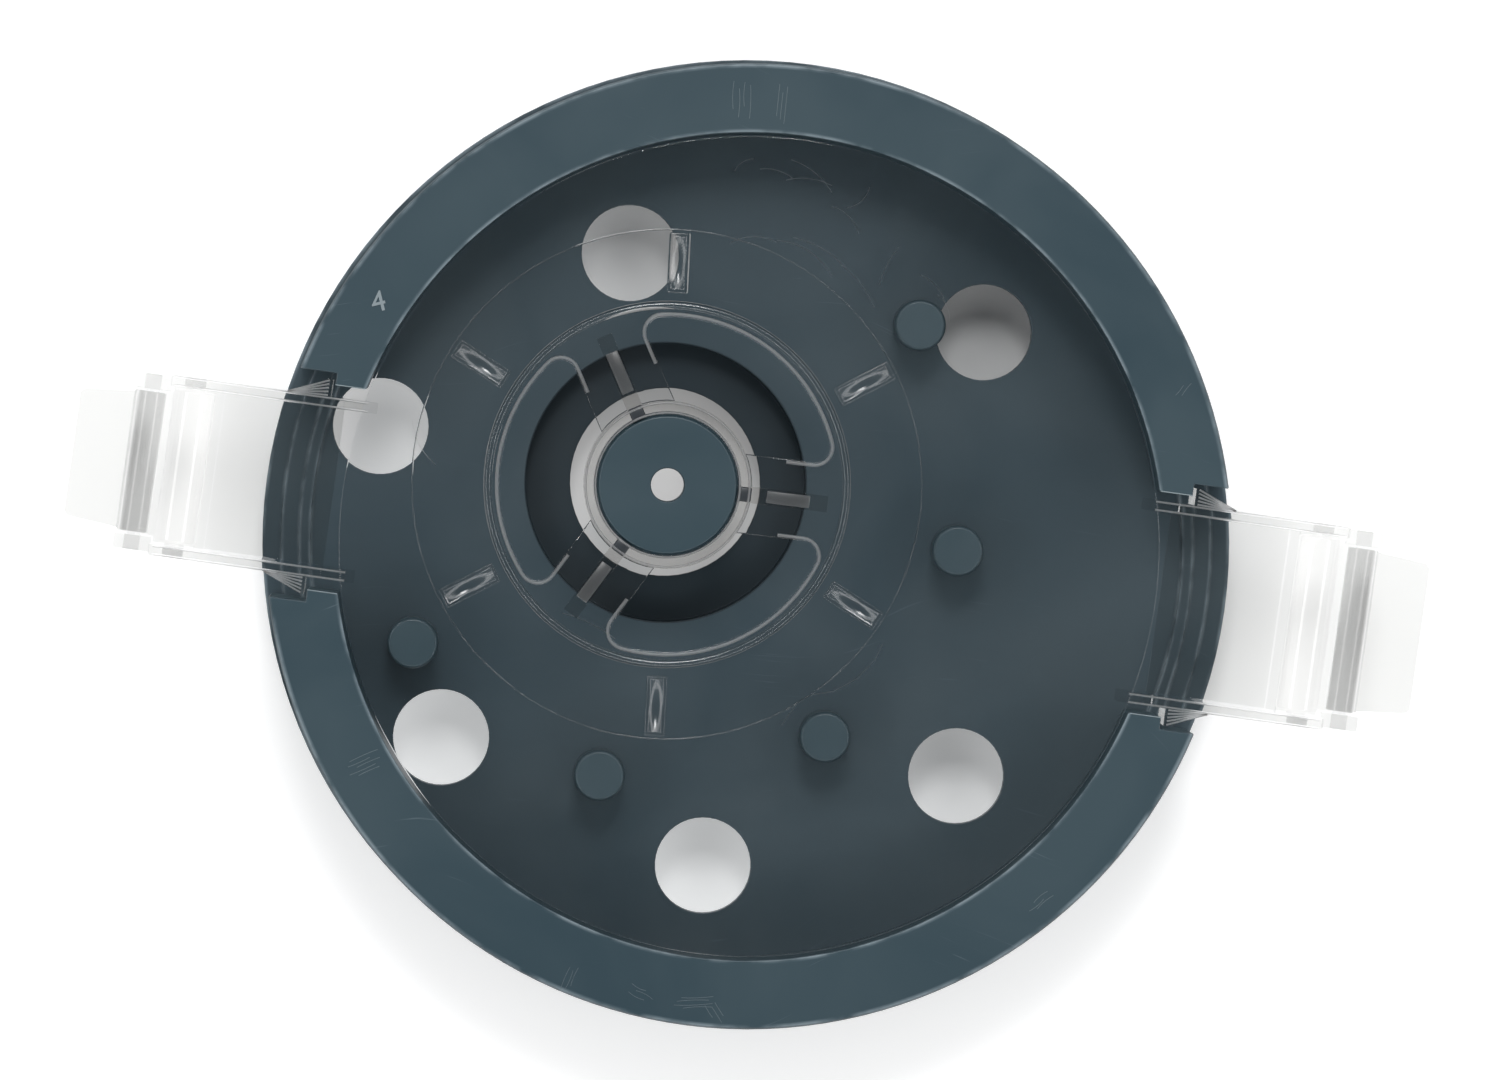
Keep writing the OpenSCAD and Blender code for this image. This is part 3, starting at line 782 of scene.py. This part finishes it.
# Curved scuffs, each as its centre and radius in millimetres and its first and last angle in degrees
lid_strokes = [
    (-2.5, 31.5, 7.2, 38, 80), (0.9, 30.6, 6.4, 70, 112), (4.2, 37.2, 2.6, -75, -5),
    (-3.1, 33.0, 4.4, 60, 105), (3.0, 31.0, 3.6, 20, 85), (-4.6, 36.0, 2.2, 100, 160),
    (-1.0, 24.0, 6.5, 35, 95), (-0.4, 22.0, 9.0, 48, 88), (0.6, 20.5, 9.6, 30, 62),
    (-3.2, 26.0, 4.6, 70, 130), (12.0, 25.0, 4.2, 20, 75), (13.4, 24.6, 3.2, 5, 60),
    (20.0, 26.0, 11.0, 150, 172), (-29.0, 9.0, 6.0, 190, 240), (-19.0, -23.0, 14.0, 60, 84),
]
long_scratch = [(14.4, -7.8), (13.9, -9.4), (12.4, -11.5), (10.2, -13.1),
                (8.1, -13.7), (6.9, -14.6), (5.6, -17.1)]
stroke_paths = []
for x, y, radius, first, last in lid_strokes:
    bend = arc((x * mm, y * mm), radius * mm, math.radians(first), math.radians(last), 24)
    stroke_paths.append(([(p.x, p.y, lid_top) for p in bend], False))
stroke_paths.append(([(x * mm, y * mm, lid_top) for x, y in long_scratch], False))
scuff_plastic = clear_plastic("scuff_plastic", (1, 1, 1), 0.45, 0)
bead_piece("lid_scuffs", stroke_paths, 0.028 * mm, "lid", scuff_plastic, 5)

# ---------------------------------------------------------------------------
# Hub collar: a clear moulded ring that the core turns in, with a rib along each arm; frosted
# beads on its two lips are painted highlights. A dark catch is pressed into each of its three slots.
collar_plastic = clear_plastic("collar_plastic", (0.78, 0.775, 0.755), 0.06, 0.2, gloss=0.9)
softened_copy("hub_collar", "collar_ring", "lid", collar_plastic, 0.12)
collar_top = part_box("hub_collar")[1].z
catch_plastic = dark_plastic("catch_plastic", (0.02, 0.025, 0.03), (0.03, 0.035, 0.04), 0.1, 0.3)
catch_half = 0.72 * mm
catch = soft_box(Vector((7.0 * mm, -catch_half, collar_top - 1.0 * mm)),
                 Vector((8.35 * mm, catch_half, collar_top - 0.1 * mm)), 0.15 * mm)
copies_piece("collar_catches", catch, 3, 1, "lid", catch_plastic)
lip_highlight_paths = [ring_path(8.12 * mm, collar_top - 0.04 * mm), ring_path(7.16 * mm, collar_top - 0.06 * mm)]
bead_piece("collar_lip_highlights", lip_highlight_paths, 0.11 * mm, "lid", frosted_highlight_plastic)
arm_rib_top = collar_top - 1.05 * mm
bar_half = 0.62 * mm
arm_bar = soft_box(Vector((9.9 * mm, -bar_half, arm_rib_top - 0.1 * mm)),
                   Vector((14.2 * mm, bar_half, arm_rib_top + 0.12 * mm)), 0.08 * mm)
bar_plastic = clear_plastic("bar_plastic", (0.96, 0.97, 0.97), 0.3, 0, gloss=1, shade=0.97,
                            clearness=0.96)
copies_piece("arm_bars", arm_bar, 3, 1, "lid", bar_plastic)

# ---------------------------------------------------------------------------
# Rim scuffs: strokes that storage and thumbs have rubbed into both rims, as low pale
# burrs standing on their top faces, and a burr along each square end at the two gaps.

# Groups of strokes, each as x, y, direction in degrees, length, count and gap, in millimetres
scuff_spots = [
    (-7.0, 43.9, 96, 3.4, 4, 0.55), (-3.0, 43.9, 92, 3.8, 3, 0.4), (-34.9, -26.6, 32, 3.2, 5, 0.4),
    (0.8, -45.6, 10, 4.2, 4, 0.35), (3.0, -46.3, 130, 2.0, 3, 0.5), (-11.8, -44.9, 75, 2.6, 3, 0.4),
    (-4.6, -45.4, 160, 2.2, 3, 0.45), (40.5, 21.5, 60, 1.8, 2, 0.5), (33.5, -31.0, 48, 2.4, 3, 0.35),
]
burr_paths = []
for x, y, direction, length, count, gap in scuff_spots:
    along = Vector((math.cos(math.radians(direction)), math.sin(math.radians(direction))))
    across = Vector((-along.y, along.x))
    for k in range(count):
        sideways = gap * (k - (count - 1) / 2)
        shift = 0.45 * math.sin(2.6 * k + x)
        reach = length / 2 * (1 - 0.3 * abs(math.sin(1.9 * k + y)))
        bow = 0.12 * math.sin(3.1 * k + x)
        middle = Vector((x, y)) + across * sideways + along * shift
        stroke = [(middle + along * reach * t + across * bow * (1 - t * t)) * mm
                  for t in (-1, -0.6, -0.2, 0.2, 0.6, 1)]
        burr_paths.append(([(p.x, p.y, rim_top) for p in stroke], False))
burr_plastic = dark_plastic("burr_plastic", (0.07, 0.10, 0.12), (0.11, 0.145, 0.16), 0.2, 0.45)
bead_piece("rim_scuffs", burr_paths, 0.035 * mm, "base", burr_plastic, 5)

rubbed_plastic = dark_plastic("rubbed_plastic", (0.14, 0.18, 0.20), (0.22, 0.27, 0.29), 0.1, 0.4)
end_paths = []
for start, end, half_gap in ((-42.9, -39.9, 10.25), (39.7, 42.9, 11.15)):
    for y in (half_gap, -half_gap):
        end_paths.append(([(x * mm, y * mm, rim_top) for x in (start, (start + end) / 2, end)], False))
bead_piece("rim_end_burrs", end_paths, 0.06 * mm, "base", rubbed_plastic, 6)

# ---------------------------------------------------------------------------
# Channels: two clear trays with thin side walls, which snap into the gaps in the rims
# by the barbs on their sides and guide the film in and out. Frosted beads along the walls'
# top corners and across the fluted tops of the barbs are painted highlight lines.
channel_plastic = clear_plastic("channel_plastic", (0.70, 0.705, 0.69), 0.03, 0.4, gloss=0.9, shade=0.95)
for side in ("left", "right"):
    softened_copy(f"{side}_wing", f"{side}_channel", "lid", channel_plastic, 0.22)
channel_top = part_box("left_wing")[1].z
barb_tip = 47.4
barb_length = 3.9
flute_count = 5
first_spread = 0.12
flute_spread = 0.37
for side, outward, half_width in (("left", -1, 9.0), ("right", 1, 10.2)):
    highlight_paths = []
    for across in (-1, 1):
        lines = [[(x, half_width - wall_inset) for x in (39.4, 44, 49, 54, 58.6)]
                 for wall_inset in (0.14, 0.96)]
        for flute in range(flute_count):
            spread = first_spread + flute_spread * flute
            lines.append([(barb_tip - barb_length * t, half_width + spread * t)
                          for t in (0, 0.2, 0.4, 0.6, 0.8, 1)])
        highlight_paths += [([(outward * x * mm, across * y * mm, channel_top) for x, y in line], False)
                       for line in lines]
    bead_piece(f"{side}_channel_edge_highlights", highlight_paths, 0.1 * mm, "lid", frosted_highlight_plastic)

# ---------------------------------------------------------------------------
# Rollers: a clear polished roller across each channel, turned with a short journal at
# each end that runs in the channel's side walls.
roller_plastic = clear_plastic("roller_plastic", (0.88, 0.88, 0.86), 0.03, 0.3, gloss=0.7, shade=0.97)
for side in ("left", "right"):
    softened_copy(f"{side}_roller", f"{side}_guide_roller", f"{side}_roller",
                  roller_plastic, 0.25)

# ---------------------------------------------------------------------------
# Gates: a clear moulded flap closes each channel's mouth. It turns on a clear pin
# pressed through two ears, and its tongue is the finger tab.
gate_plastic = clear_plastic("gate_plastic", (0.60, 0.605, 0.59), 0.14, 0.5, gloss=0.7, shade=0.97)
pin_plastic = clear_plastic("pin_plastic", (0.8, 0.81, 0.81), 0.05, 0.1, gloss=0.8, shade=0.97)
for side in ("left", "right"):
    softened_copy(f"{side}_gate", f"{side}_flap", f"{side}_gate", gate_plastic, 0.12)
    softened_copy(f"{side}_gate_pin", f"{side}_flap_pin", "lid", pin_plastic, 0.15)
